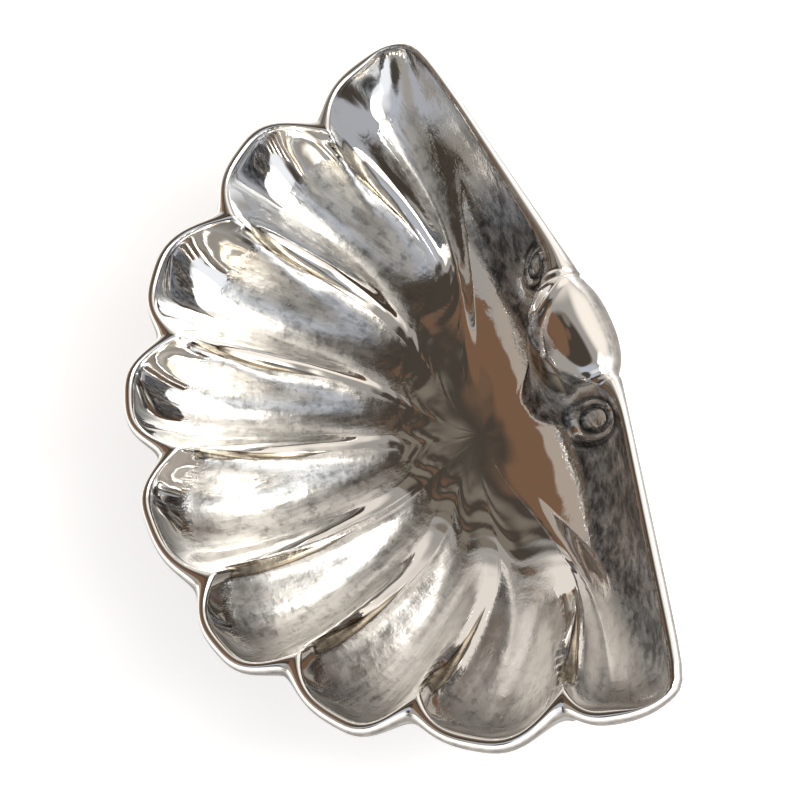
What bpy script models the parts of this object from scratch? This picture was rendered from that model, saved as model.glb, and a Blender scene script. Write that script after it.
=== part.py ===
"""Pewter scallop shell tray, cast in one piece.

The shell is one closed skin. Its columns run from the deepest point of the
bowl, out to the scalloped rim, over the rounded lip and back under the body to
the flat foot. Every vertex is placed by a formula from the sizes below.

Plan view: +X runs across the fan, +Y runs to the straight hinge edge with its
knob, and the lobes open towards -Y. Sizes are in metres, bearings in degrees
from -Y, positive towards +X.
"""
import math

import bmesh
import bpy
import numpy as np

# Main sizes of the fan, seen from the fan centre at the hinge.
FAN_HALF_LENGTH = 0.0882  # reach of a full lobe if it lay along the hinge edge
FAN_FRONT = 0.0882        # reach of a full lobe straight ahead of the knob
# Bearing of each lobe tip, and its reach as a share of a full lobe's.
LOBE_TIPS = (
    (-79.5, 0.853),
    (-57.0, 0.910),
    (-35.5, 0.965),
    (-18.2, 0.991),
    (-0.8, 0.993),
    (18.8, 1.000),
    (37.0, 0.961),
    (55.0, 0.907),
    (74.5, 0.845),
)
# The same for the valleys between neighbouring lobes.
LOBE_VALLEYS = (
    (-67.4, 0.814),
    (-47.0, 0.877),
    (-26.8, 0.924),
    (-9.3, 0.929),
    (10.3, 0.959),
    (27.5, 0.933),
    (45.8, 0.883),
    (67.4, 0.822),
)
WALL_BULGE = 0.0020       # outer wall beyond the lip in the valleys
WALL_BULGE_SPAN = (0.80, 0.95)
LOBE_ROUNDNESS = 3.1      # exponent of each lobe's arc down to its rounded valleys
END_ROUNDNESS = 2.4       # the same for the end lobes' arcs to the hinge edge
RIM_WIDTH = 0.0024        # width of the lip at the lobe tips
WEB_WIDTH = 0.0056        # width of the lip at the valleys, where ridges meet it
LIP_TOP = 0.4             # where the top of the lip lies across its width
LIP_INNER_FALL = 0.0009   # fall of the lip from its top to the bowl
LIP_OUTER_FALL = 0.0026   # fall of the lip from its top to the outer wall

# Hinge edge: it slopes forward on both sides of the knob.
HINGE_REACHES = (0.0098, 0.0090)
HINGE_SLOPES = (0.160, 0.200)
CORNER_SHARPNESS = 16     # higher values give tighter end corners
CORNER_BEARINGS = (-90.5, 88.0)
CORNER_SHARE = 0.771      # reach of the end lobes where they meet the hinge edge
BANDS_AT_KNOB = (0.0034, 0.0018)    # width of the hinge band on the -X and +X side
BANDS_AT_CORNER = (0.0019, 0.0025)

# Knob, the beak of the shell.
KNOB_HALF_WIDTH = 0.0128
KNOB_OUTER_DEPTH = 0.0076
KNOB_ROUNDNESS = 2.4
KNOB_SETBACK = 0.0020     # knob centre behind the fan centre
KNOB_ASIDE = -0.0012      # knob centre to the side of the fan centre
KNOB_INNER_DEPTH = 0.0076
KNOB_INNER_SPREAD = 0.0112
KNOB_RISE = 0.0030
NOTCH_ACROSS = 0.0109     # the notches lie this far to either side
NOTCH_DEPTH = 0.0008
NOTCH_INSET = 0.0005
NOTCH_WIDTH = 0.0010
KNOB_THICKNESS = 0.0062
KNOB_BACK_WALL = 0.0095   # metal behind the bowl's wall, under the knob

# Bowl.
BOWL_DEPTH = 0.0264       # lip to the bowl's lowest point
BASE_THICKNESS = 0.0021
FOOT_GRIND = 0.0005       # metal ground off the underside to make the flat foot
DEEPEST_FORWARD = 0.0225  # deepest point in front of the fan centre
FLUTE_CURVE = (4.2, 1.25)
RIDGE_CURVE = (2.6, 1.0)
HINGE_WALL_CURVE = (2.8, 1.1)
UNDER_FLUTE_CURVE = (4.0, 1.6)
UNDER_RIDGE_CURVE = (2.6, 1.5)
UNDER_HINGE_CURVE = (2.9, 1.45)
FLUTE_ROUNDNESS = 2.5     # exponent of the scoop from its floor to the ridges
CREST_SHARE = 0.17        # share of each flute's half width that is flat crest
RIDGE_START = (0.031, 0.056)    # reach over which the ridges rise out of the bowl
OUTLINE_SOFTENING = 13.0  # degrees over which corners melt away down the wall
OUTLINE_SPAN = (0.55, 1.0)
KNOB_SHADOW = 0.05        # share of the knob's bulge that the foot of the wall follows
GROOVE_DEPTH = 0.0010     # tapered groove in each crest, deepest near the rim
GROOVE_WIDTH = 0.0013
GROOVE_SPAN = (0.66, 0.90, 0.95, 0.975)
FAN_BEND = (0.05, 0.85)   # share of the way out over which columns turn radial

# Oval scroll bosses on the wall beside the knob: plan centre, two half axes
# and height.
SCROLLS = (
    ((-0.0194, 0.0008), (0.0033, 0.0020), (0.0000, 0.0034), 0.0007),
    ((0.0136, -0.0010), (0.0043, 0.0033), (-0.0021, 0.0015), 0.0008),
)

# Fineness of the skin.
LOBE_STEPS = 12
RIDGE_CROWDING = 0.85     # 0 spaces columns evenly, 1 crowds them at the ridges
HINGE_STEPS = 9
KNOB_STEPS = 12
BOWL_STEPS = 23
LIP_STEPS = 6
UNDER_STEPS = 13

PEWTER_COLOUR = (0.60, 0.57, 0.53, 1.0)
PEWTER_ROUGHNESS = 0.22
MERGE_DISTANCE = 0.00001


FAN_CENTRE = np.array((0.0, 0.0))
DEEPEST = np.array((0.0, -DEEPEST_FORWARD))


def smooth_step(low, high, value):
    """Ease from 0 to 1 while value goes from low to high."""
    share = np.clip((value - low) / (high - low), 0.0, 1.0)
    return share * share * (3.0 - 2.0 * share)


def plan_point(bearing, reach):
    """Plan position at a bearing in degrees and a share of a full lobe's reach."""
    angle = math.radians(bearing)
    across = reach * FAN_HALF_LENGTH * math.sin(angle)
    return np.array((across, -reach * FAN_FRONT * math.cos(angle)))


def by_side(pair, across):
    """Value for the -X or the +X side, eased from one to the other at the knob."""
    share = float(smooth_step(-KNOB_HALF_WIDTH, KNOB_HALF_WIDTH, across))
    return pair[0] + (pair[1] - pair[0]) * share


def hinge_line(across):
    """Y of the hinge edge at a given X."""
    slope = by_side(HINGE_SLOPES, across)
    return by_side(HINGE_REACHES, across) - slope * abs(across)


def hinge_reach(bearing):
    """Reach of the hinge edge, as a share, along a bearing beyond the last lobes."""
    side = 0 if bearing < 0 else 1
    across, along = plan_point(bearing, 1.0)
    towards = HINGE_SLOPES[side] * abs(across) + along
    return HINGE_REACHES[side] / towards if towards > 1e-6 else 1e3


def band_width(across):
    """Width of the hinge band, which changes evenly from knob to corner."""
    side = 0 if across < 0 else 1
    corner = abs(plan_point(CORNER_BEARINGS[side], hinge_reach(CORNER_BEARINGS[side]))[0])
    share = float(smooth_step(KNOB_HALF_WIDTH, corner, abs(across)))
    near = by_side(BANDS_AT_KNOB, across)
    return near + (BANDS_AT_CORNER[side] - near) * share


def bowl_edge_behind(across, bulging=1.0):
    """Y of the bowl's edge along the hinge, bulging forward round the knob."""
    straight = hinge_line(across) - band_width(across)
    front = KNOB_SETBACK - KNOB_INNER_DEPTH
    bulge = front - (hinge_line(0.0) - band_width(0.0))
    aside = abs((across - KNOB_ASIDE) / KNOB_INNER_SPREAD)
    return straight + bulging * bulge * math.exp(-aside ** 2.5)


def lobe_columns(number):
    """Columns of one lobe as (rim point, bowl edge point, nearness to a ridge)."""
    tip_bearing, tip_reach = LOBE_TIPS[number]
    last = len(LOBE_TIPS) - 1
    columns = []
    for step in range(LOBE_STEPS + 1):
        turned = 0.5 * math.pi * RIDGE_CROWDING
        side = math.sin(turned * (2.0 * step / LOBE_STEPS - 1.0)) / math.sin(turned)
        if side < 0 and number > 0:
            end_bearing, end_reach = LOBE_VALLEYS[number - 1]
        elif side > 0 and number < last:
            end_bearing, end_reach = LOBE_VALLEYS[number]
        else:
            end_bearing = CORNER_BEARINGS[0 if number == 0 else 1]
            end_reach = CORNER_SHARE
        bearing = tip_bearing + abs(side) * (end_bearing - tip_bearing)
        fall = abs(side) ** LOBE_ROUNDNESS
        if 0 < number + side < last:
            fall = fall * (2.0 - fall)
        reach = tip_reach + (end_reach - tip_reach) * fall
        hinge = hinge_reach(bearing)
        power = -CORNER_SHARPNESS
        reach = (reach ** power + hinge ** power) ** (1.0 / power)
        outward = -side if number == 0 else side if number == last else -1.0
        corner = float(smooth_step(-0.35, 0.90, outward))
        rim = plan_point(bearing, reach)
        width = RIM_WIDTH + (WEB_WIDTH - RIM_WIDTH) * abs(side) ** 5 * (1.0 - corner)
        inward = (1.0 - corner) * -rim / np.linalg.norm(rim)
        inward = inward + corner * np.array((0.0, -1.0))
        inward = inward / np.linalg.norm(inward)
        band = BANDS_AT_CORNER[0 if number == 0 else 1]
        width = width + corner * (band - width)
        flank = 0.0 if outward > 0 else abs(side)
        columns.append((rim, rim + width * inward, flank))
    return columns


def hinge_columns(sign):
    """Columns along the straight hinge edge, from the knob to the end corner."""
    bearing = CORNER_BEARINGS[0 if sign < 0 else 1]
    end = plan_point(bearing, hinge_reach(bearing))
    columns = []
    for step in range(1, HINGE_STEPS):
        share = (step / HINGE_STEPS) ** 1.25
        start = KNOB_ASIDE + sign * KNOB_HALF_WIDTH
        across = start + share * (0.97 * end[0] - start)
        rim = np.array((across, hinge_line(across)))
        inner = np.array((across, bowl_edge_behind(across)))
        columns.append((rim, inner, 0.0))
    return columns


def notch(across):
    """1 in the middle of either notch beside the knob, 0 away from them."""
    return np.exp(-((np.abs(across - KNOB_ASIDE) - NOTCH_ACROSS) / NOTCH_WIDTH) ** 2)


def knob_columns():
    """Columns across the knob, from the +X notch to the -X notch."""
    columns = []
    for step in range(KNOB_STEPS + 1):
        share = math.cos(math.pi * step / KNOB_STEPS)
        across = KNOB_ASIDE + KNOB_HALF_WIDTH * share
        share = abs(share)
        arc = max(0.0, 1.0 - share ** KNOB_ROUNDNESS) ** (1.0 / KNOB_ROUNDNESS)
        outer = max(hinge_line(across), KNOB_SETBACK + KNOB_OUTER_DEPTH * arc)
        rim = np.array((across, outer - NOTCH_INSET * float(notch(across))))
        inner = np.array((across, bowl_edge_behind(across)))
        columns.append((rim, inner, 0.0))
    return columns


def all_columns():
    """Columns once round the shell, starting at the first valley."""
    columns = []
    for number in range(len(LOBE_TIPS)):
        lobe = lobe_columns(number)
        columns += lobe if number == 0 else lobe[1:]
    columns += hinge_columns(1.0)[::-1]
    columns += knob_columns()
    columns += hinge_columns(-1.0)
    return columns


def fan_turn(edge):
    """How far each column turns radial: 1 between the end ridges, 0 at the hinge."""
    away = edge - DEEPEST
    bearing = np.arctan2(away[:, 0], -away[:, 1])
    last = LOBE_STEPS * len(LOBE_TIPS)
    clear = 2 * LOBE_STEPS // 3
    marks = bearing[[0, clear, last - clear, last]]
    return np.interp(bearing, marks, (0.0, 1.0, 1.0, 0.0))


def reach_table(points):
    """Bearings and reaches of a closed outline as seen from the deepest point."""
    away = points - DEEPEST
    bearing = np.arctan2(away[:, 0], -away[:, 1])
    reach = np.hypot(away[:, 0], away[:, 1])
    order = np.argsort(bearing)
    bearing = bearing[order]
    reach = reach[order]
    full = 2.0 * math.pi
    bearing = np.concatenate((bearing - full, bearing, bearing + full))
    return bearing, np.concatenate((reach, reach, reach))


def foot_outline(points):
    """The outline that the foot of the wall follows, which passes the knob closer."""
    foot = points.copy()
    beside = (np.abs(points[:, 0]) < 3.0 * KNOB_INNER_SPREAD) & (points[:, 1] > DEEPEST[1])
    for number in np.flatnonzero(beside):
        across = points[number, 0]
        back = bowl_edge_behind(across, KNOB_SHADOW) - bowl_edge_behind(across)
        foot[number, 1] += back
    return foot


def soft_table(points):
    """The foot outline with its corners and scallops melted away."""
    table = reach_table(foot_outline(points))
    even = np.radians(np.arange(-180.0, 180.0, 1.0))
    reach = np.interp(even, table[0], table[1])
    offsets = np.arange(-45, 46)
    weights = np.exp(-0.5 * (offsets / OUTLINE_SOFTENING) ** 2)
    parts = [weight * np.roll(reach, offset) for weight, offset in zip(weights, offsets)]
    soft = np.sum(parts, axis=0) / weights.sum()
    full = 2.0 * math.pi
    even = np.concatenate((even - full, even, even + full))
    return even, np.concatenate((soft, soft, soft))


def way_out(points, outline):
    """Share of the way from the deepest point to the outline, 1 on the edge.

    Near the edge it follows the outline closely, further in a softened one.
    """
    table = reach_table(outline)
    soft = soft_table(outline)
    away = points - DEEPEST
    bearing = np.arctan2(away[..., 0], -away[..., 1])
    reach = np.hypot(away[..., 0], away[..., 1])
    close = reach / np.interp(bearing, table[0], table[1])
    loose = reach / np.interp(bearing, soft[0], soft[1])
    return loose + (close - loose) * smooth_step(OUTLINE_SPAN[0], OUTLINE_SPAN[1], close)


def bowl_curve(share, curve):
    """Depth, from 1 in the middle to 0 at the edge, as a superellipse."""
    inside = np.clip(1.0 - np.clip(share, 0.0, 1.0) ** curve[0], 0.0, 1.0)
    return inside ** (1.0 / curve[1])


def blend_curves(hinge, fan, turn):
    """Superellipse exponents for each column, from the hinge's to the fan's."""
    share = smooth_step(0.0, 1.0, turn)[None]
    return hinge[0] + (fan[0] - hinge[0]) * share, hinge[1] + (fan[1] - hinge[1]) * share


def ridge_profile(flank):
    """Rise from a flute's floor, 0, to the flat crest of its ridge, 1."""
    way = np.clip(flank / (1.0 - CREST_SHARE), 0.0, 1.0)
    return 1.0 - (1.0 - way ** FLUTE_ROUNDNESS) ** 2


def column_path(edge, turn, share):
    """Plan points along the columns, turning radial towards the rim."""
    straight = DEEPEST + share[..., None] * (edge - DEEPEST)
    bend = turn * smooth_step(FAN_BEND[0], FAN_BEND[1], share) * (1.0 - share)
    return straight + bend[..., None] * (FAN_CENTRE - DEEPEST)


def knob_radius(points):
    """1 on the knob's footprint edge, 0 at its centre."""
    across = np.abs(points[..., 0] - KNOB_ASIDE) / KNOB_HALF_WIDTH
    depth = np.where(points[..., 1] > KNOB_SETBACK, KNOB_OUTER_DEPTH, KNOB_INNER_DEPTH)
    along = np.abs(points[..., 1] - KNOB_SETBACK) / depth
    return (across ** KNOB_ROUNDNESS + along ** KNOB_ROUNDNESS) ** (1.0 / KNOB_ROUNDNESS)


def knob_height(points):
    """Dome of the knob above the hinge band, with the notches beside it."""
    radius = knob_radius(points)
    dome = KNOB_RISE * np.clip(1.0 - radius * radius, 0.0, 1.0) ** 0.85
    behind = smooth_step(KNOB_SETBACK - KNOB_INNER_DEPTH, KNOB_SETBACK, points[..., 1])
    return dome - NOTCH_DEPTH * notch(points[..., 0]) * behind


def ridge_strength(points):
    """0 in the smooth middle of the bowl, 1 where the ridges have their full height."""
    reach = np.hypot(points[..., 0], points[..., 1])
    return smooth_step(RIDGE_START[0], RIDGE_START[1], reach)


def ridge_spread(points):
    """Half distance between neighbouring ridges at each plan point."""
    count = len(LOBE_VALLEYS) - 1
    fan = math.radians(LOBE_VALLEYS[-1][0] - LOBE_VALLEYS[0][0])
    reach = np.hypot(points[..., 0], points[..., 1])
    return 0.5 * fan / count * reach


def crest_groove(share, flank, spread):
    """Depth of the tapered groove along each crest."""
    taper = np.clip((share - GROOVE_SPAN[0]) / (GROOVE_SPAN[1] - GROOVE_SPAN[0]), 0.0, 1.0)
    blunt = 1.0 - smooth_step(GROOVE_SPAN[2], GROOVE_SPAN[3], share)
    half_width = GROOVE_WIDTH * np.maximum(taper, 0.05)
    aside = (1.0 - flank) * spread / half_width
    return GROOVE_DEPTH * taper * blunt * np.clip(1.0 - aside * aside, 0.0, 1.0)


def bowl_surface(edge, flank, turn):
    """Inside of the bowl, rows from the deepest point to the edge."""
    angle = np.linspace(1.0, 0.0, BOWL_STEPS + 1)
    share = np.cos(0.5 * math.pi * angle) ** 0.62
    share = np.broadcast_to(share[:, None], (len(share), len(edge)))
    points = column_path(edge[None], turn[None], share)
    out = way_out(points, edge)
    flute = bowl_curve(out, blend_curves(HINGE_WALL_CURVE, FLUTE_CURVE, turn))
    ridge = bowl_curve(out, RIDGE_CURVE)
    spread = ridge_spread(points)
    rise = ridge_profile(flank[None])
    rise = rise * ridge_strength(points)
    depth = flute + (ridge - flute) * rise
    low = LIP_INNER_FALL
    height = -low - (BOWL_DEPTH - low) * depth
    height = height - crest_groove(share, flank[None], spread)
    return np.dstack((points, height))


def lip_surface(edge, rim):
    """Rounded lip and knob, rows from just inside to the outer edge."""
    share = np.linspace(0.0, 1.0, LIP_STEPS + 1)[1:, None]
    points = edge[None] + share[..., None] * (rim - edge)[None]
    inner = LIP_INNER_FALL * np.clip(1.0 - share / LIP_TOP, 0.0, 1.0) ** 2.5
    outer = LIP_OUTER_FALL * np.clip((share - LIP_TOP) / (1.0 - LIP_TOP), 0.0, 1.0) ** 3
    return np.dstack((points, knob_height(points) - inner - outer))


def wall_bulge(points, valley, share):
    """Outward shift of the outer wall below the lip, largest in the valleys."""
    away = points - DEEPEST
    away = away / np.maximum(np.linalg.norm(away, axis=-1, keepdims=True), 1e-9)
    low = smooth_step(WALL_BULGE_SPAN[0], WALL_BULGE_SPAN[1], share)
    high = 1.0 - smooth_step(WALL_BULGE_SPAN[1], 1.0, share) ** 2
    return (WALL_BULGE * valley ** 3 * low * high)[..., None] * away


def under_surface(rim, body, flank, turn):
    """Outside of the bowl, rows from under the lip to the middle of the foot."""
    angle = np.linspace(0.0, 1.0, UNDER_STEPS + 1)[1:]
    share = np.cos(0.5 * math.pi * angle) ** 0.5
    share[0] = 0.9985
    share = np.broadcast_to(share[:, None], (len(share), len(rim)))
    points = column_path(rim[None], turn[None], share)
    out = way_out(points, body)
    points = points + wall_bulge(points, flank[None] * turn[None], share)
    flute = bowl_curve(out, blend_curves(UNDER_HINGE_CURVE, UNDER_FLUTE_CURVE, turn))
    ridge = bowl_curve(out, UNDER_RIDGE_CURVE)
    rise = ridge_profile(flank[None])
    rise = rise * ridge_strength(points)
    depth = flute + (ridge - flute) * rise
    low = LIP_OUTER_FALL
    full = BOWL_DEPTH + BASE_THICKNESS + FOOT_GRIND
    height = -low - (full - low) * depth
    foot = BOWL_DEPTH + BASE_THICKNESS
    radius = knob_radius(points)
    beak = -KNOB_THICKNESS * np.clip(1.0 - radius ** 4, 0.0, 1.0) ** 0.5
    beak = np.where(radius < 1.0, beak - low, 0.0)
    height = np.minimum(height, beak)
    return np.dstack((points, np.maximum(height, -foot)))


def body_outline(rim, inner):
    """Outline of the bowl's outside, which passes under the knob."""
    body = rim.copy()
    share = np.abs(rim[:, 0] - KNOB_ASIDE) / KNOB_HALF_WIDTH
    under_knob = share < 1.001
    behind = rim[:, 1] > 0.0
    pick = under_knob & behind
    wall = inner[:, 1] + KNOB_BACK_WALL
    notch = np.minimum(rim[:, 1], wall + (rim[:, 1] - wall) * share ** 3)
    body[pick, 1] = notch[pick]
    return body


def scroll_lift(across, along):
    """Height of the scroll bosses over the wall at a plan position."""
    lift = 0.0
    for centre, long_axis, short_axis, height in SCROLLS:
        spread = long_axis[0] * short_axis[1] - long_axis[1] * short_axis[0]
        dx = across - centre[0]
        dy = along - centre[1]
        first = (dx * short_axis[1] - dy * short_axis[0]) / spread
        second = (dy * long_axis[0] - dx * long_axis[1]) / spread
        lift += height * max(0.0, 1.0 - first * first - second * second)
    return lift


def raise_scrolls(bm, middle):
    """Raise the scroll bosses square to the bowl's wall."""
    bm.normal_update()
    for vertex in bm.verts:
        lift = scroll_lift(vertex.co.x + middle[0], vertex.co.y + middle[1])
        if lift > 0.0 and vertex.normal.z > 0.0:
            vertex.co += vertex.normal * lift


def build_shell():
    """Build the skin of the shell as one closed mesh."""
    columns = all_columns()
    rim = np.array([column[0] for column in columns])
    inner = np.array([column[1] for column in columns])
    flank = np.array([column[2] for column in columns])
    turn = fan_turn(inner)
    body = body_outline(rim, inner)
    bowl = bowl_surface(inner, flank, turn)
    lip = lip_surface(inner, rim)
    bowl[-1, :, 2] += knob_height(inner)
    under = under_surface(rim, body, flank, turn)
    skin = np.concatenate((bowl, lip, under), axis=0)
    middle = 0.5 * (skin[..., :2].min(axis=(0, 1)) + skin[..., :2].max(axis=(0, 1)))
    skin[..., 0] -= middle[0]
    skin[..., 1] -= middle[1]
    skin[..., 2] += BOWL_DEPTH + BASE_THICKNESS

    bm = bmesh.new()
    rows, count = skin.shape[:2]
    bmesh.ops.create_grid(bm, x_segments=count, y_segments=rows - 1, size=1.0)
    bm.verts.ensure_lookup_table()
    for index, vertex in enumerate(bm.verts):
        row, column = divmod(index, count + 1)
        vertex.co = skin[row, column % count]
    bmesh.ops.remove_doubles(bm, verts=bm.verts, dist=MERGE_DISTANCE)
    bmesh.ops.triangulate(bm, faces=bm.faces)
    bmesh.ops.recalc_face_normals(bm, faces=bm.faces)
    raise_scrolls(bm, middle)
    return bm


def pewter():
    material = bpy.data.materials.new("pewter")
    material.use_nodes = True
    shader = material.node_tree.nodes["Principled BSDF"]
    shader.inputs["Base Color"].default_value = PEWTER_COLOUR
    shader.inputs["Metallic"].default_value = 1.0
    shader.inputs["Roughness"].default_value = PEWTER_ROUGHNESS
    return material


def main():
    for item in list(bpy.data.objects):
        bpy.data.objects.remove(item, do_unlink=True)
    collection = bpy.data.collections.new("shell_tray")
    bpy.context.scene.collection.children.link(collection)
    mesh = bpy.data.meshes.new("shell")
    bm = build_shell()
    bm.to_mesh(mesh)
    bm.free()
    for face in mesh.polygons:
        face.use_smooth = True
    mesh.materials.append(pewter())
    shell = bpy.data.objects.new("shell_tray", mesh)
    collection.objects.link(shell)


main()
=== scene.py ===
import math

import bpy
import numpy as np
from mathutils import Matrix, Vector, noise


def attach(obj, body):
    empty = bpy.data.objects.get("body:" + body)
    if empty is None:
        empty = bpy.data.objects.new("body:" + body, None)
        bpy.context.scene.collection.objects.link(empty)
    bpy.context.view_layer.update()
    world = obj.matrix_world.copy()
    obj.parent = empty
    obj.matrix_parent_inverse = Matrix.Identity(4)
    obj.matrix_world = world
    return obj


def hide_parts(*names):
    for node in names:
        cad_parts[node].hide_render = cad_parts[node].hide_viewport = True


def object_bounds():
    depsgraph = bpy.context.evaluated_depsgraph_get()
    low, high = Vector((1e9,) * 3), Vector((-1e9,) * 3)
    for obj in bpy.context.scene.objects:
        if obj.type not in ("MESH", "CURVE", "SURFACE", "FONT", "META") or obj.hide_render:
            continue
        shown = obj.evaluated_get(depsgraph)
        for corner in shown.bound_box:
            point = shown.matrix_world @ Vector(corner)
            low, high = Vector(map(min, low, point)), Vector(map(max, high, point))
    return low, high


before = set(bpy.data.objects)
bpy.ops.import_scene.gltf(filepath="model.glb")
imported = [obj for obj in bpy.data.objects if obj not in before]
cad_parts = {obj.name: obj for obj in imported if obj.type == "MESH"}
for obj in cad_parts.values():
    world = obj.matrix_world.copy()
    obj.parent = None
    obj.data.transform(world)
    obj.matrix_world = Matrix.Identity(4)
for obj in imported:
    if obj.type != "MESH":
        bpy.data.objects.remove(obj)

cad_low, cad_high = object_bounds()

# Main sizes of the fan, seen from the fan centre at the hinge.
FAN_HALF_LENGTH = 0.0882  # reach of a full lobe if it lay along the hinge edge
FAN_FRONT = 0.0882        # reach of a full lobe straight ahead of the knob
# Bearing of each lobe tip, and its reach as a share of a full lobe's.
LOBE_TIPS = (
    (-79.5, 0.853),
    (-57.0, 0.910),
    (-35.5, 0.965),
    (-18.2, 0.991),
    (-0.8, 0.993),
    (18.8, 1.000),
    (37.0, 0.961),
    (55.0, 0.907),
    (74.5, 0.845),
)
# The same for the valleys between neighbouring lobes.
LOBE_VALLEYS = (
    (-67.4, 0.814),
    (-47.0, 0.877),
    (-26.8, 0.924),
    (-9.3, 0.929),
    (10.3, 0.959),
    (27.5, 0.933),
    (45.8, 0.883),
    (67.4, 0.822),
)
WALL_BULGE = 0.0020       # outer wall beyond the lip in the valleys
WALL_BULGE_SPAN = (0.80, 0.95)
LOBE_ROUNDNESS = 3.1      # exponent of each lobe's arc down to its rounded valleys
END_ROUNDNESS = 2.4       # the same for the end lobes' arcs to the hinge edge
RIM_WIDTH = 0.0024        # width of the lip at the lobe tips
WEB_WIDTH = 0.0056        # width of the lip at the valleys, where ridges meet it
WEB_SHARPNESS = 5         # higher values keep the webs closer to the valleys
LIP_TOP = 0.4             # where the top of the lip lies across its width
LIP_INNER_FALL = 0.0009   # fall of the lip from its top to the bowl
LIP_INNER_POWER = 2.5
LIP_OUTER_FALL = 0.0026   # fall of the lip from its top to the outer wall
LIP_OUTER_POWER = 3
BULGE_POWER = 3           # higher values keep the outer wall's bulge to the valleys

# Hinge edge: it slopes forward on both sides of the knob.
HINGE_REACHES = (0.0098, 0.0090)
HINGE_SLOPES = (0.160, 0.200)
CORNER_SHARPNESS = 16     # higher values give tighter end corners
CORNER_BEARINGS = (-90.5, 88.0)
CORNER_SHARE = 0.771      # reach of the end lobes where they meet the hinge edge
BANDS_AT_KNOB = (0.0034, 0.0018)    # width of the hinge band on the -X and +X side
BANDS_AT_CORNER = (0.0019, 0.0025)
CORNER_EASE = (-0.35, 0.90)         # share of an end lobe over which its corner forms
HINGE_END_SHARE = 0.97    # the hinge columns stop this far out to the corner

# Knob, the beak of the shell.
KNOB_HALF_WIDTH = 0.0128
KNOB_OUTER_DEPTH = 0.0076
KNOB_ROUNDNESS = 2.4
KNOB_SETBACK = 0.0020     # knob centre behind the fan centre
KNOB_ASIDE = -0.0012      # knob centre to the side of the fan centre
KNOB_INNER_DEPTH = 0.0076
KNOB_INNER_SPREAD = 0.0112
KNOB_BULGE_POWER = 2.5    # exponent of the bulge that the bowl's edge makes round it
KNOB_RISE = 0.0030
KNOB_DOME_POWER = 0.85
NOTCH_ACROSS = 0.0109     # the notches lie this far to either side
NOTCH_DEPTH = 0.0008
NOTCH_INSET = 0.0005
NOTCH_WIDTH = 0.0010
KNOB_THICKNESS = 0.0062
KNOB_UNDER_POWERS = (4, 0.5)
KNOB_BACK_WALL = 0.0095   # metal behind the bowl's wall, under the knob
KNOB_BACK_POWER = 3
KNOB_SIDE_LIMIT = 1.001   # the knob's share of width, with room for rounding
FOOT_BESIDE = 3.0         # the foot passes the knob within so many of its spreads

# Bowl.
BOWL_DEPTH = 0.0264       # lip to the bowl's lowest point
BASE_THICKNESS = 0.0021
FOOT_GRIND = 0.0005       # metal ground off the underside to make the flat foot
DEEPEST_FORWARD = 0.0225  # deepest point in front of the fan centre
FLUTE_CURVE = (4.2, 1.25)
RIDGE_CURVE = (2.6, 1.0)
HINGE_WALL_CURVE = (2.8, 1.1)
UNDER_FLUTE_CURVE = (4.0, 1.6)
UNDER_RIDGE_CURVE = (2.6, 1.5)
UNDER_HINGE_CURVE = (2.9, 1.45)
FLUTE_ROUNDNESS = 2.5     # exponent of the scoop from its floor to the ridges
CREST_SHARE = 0.17        # share of each flute's half width that is flat crest
RIDGE_START = (0.031, 0.056)    # reach over which the ridges rise out of the bowl
OUTLINE_SOFTENING = 13.0  # degrees over which corners melt away down the wall
SOFTENING_REACH = 45      # degrees to each side that count in that
OUTLINE_SPAN = (0.55, 1.0)
KNOB_SHADOW = 0.05        # share of the knob's bulge that the foot of the wall follows
GROOVE_DEPTH = 0.0010     # tapered groove in each crest, deepest near the rim
GROOVE_WIDTH = 0.0013
GROOVE_SPAN = (0.66, 0.90, 0.95, 0.975)
GROOVE_LEAST_WIDTH = 0.05           # share of the width kept where it has tapered away
FAN_BEND = (0.05, 0.85)   # share of the way out over which columns turn radial

# Scrolls on the wall, each as centre and two half axes, in metres along x and up
# from the lip, and height.
WALL_SCROLLS = (
    ((-0.0197, -0.0072), (0.0003, 0.0064), (0.0026, 0.0012), 0.0009),
    ((0.0126, -0.0118), (0.0044, 0.0070), (0.0019, -0.0041), 0.0010),
)
WALL_SQUEEZE = 0.45     # upright lengths count less, as the wall is seen from above

# Raised curls beside the scrolls as points along x and up from the lip, half
# width and height.
LEFT_CURL = ((-0.0236, -0.0120), (-0.0225, -0.0150), (-0.0196, -0.0165), (-0.0170, -0.0150))
RIGHT_CURL = ((0.0107, -0.0015), (0.0082, -0.0066), (0.0070, -0.0132), (0.0074, -0.0180))
WALL_STRIPS = (
    (LEFT_CURL, 0.0008, 0.0008),
    (RIGHT_CURL, 0.0008, 0.0008),
)

# Raised and sunk lines on the knob's edge: the bead towards the bowl and the
# groove beside the notch, as plan points, half width and height.
KNOB_BEAD = ((-0.0062, -0.0010), (-0.0030, -0.0038), (0.0015, -0.0050), (0.0057, -0.0046))
NOTCH_GROOVE = ((-0.0126, 0.0078), (-0.0104, 0.0036), (-0.0081, 0.0004), (-0.0062, -0.0022))
STRIPS = (
    (KNOB_BEAD, 0.0006, 0.0006),
    (NOTCH_GROOVE, 0.0005, -0.0006),
)

# Fineness of the skin. The powers crowd rows and columns where it bends most.
LOBE_STEPS = 30
RIDGE_CROWDING = 0.85     # 0 spaces columns evenly, 1 crowds them at the ridges
HINGE_STEPS = 114
HINGE_STEP_POWER = 1.25
KNOB_STEPS = 60
BOWL_STEPS = 110
BOWL_STEP_POWER = 0.62
LIP_STEPS = 22
UNDER_STEPS = 40
UNDER_STEP_POWER = 0.5
UNDER_FIRST_ROW = 0.9985  # share of the way out of the first row under the lip
TINY = 1e-12
NEARLY_LEVEL = 1e-6       # a bearing that runs along the hinge edge
NEVER_MET = 1e3           # reach of an edge that a bearing never meets

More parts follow.
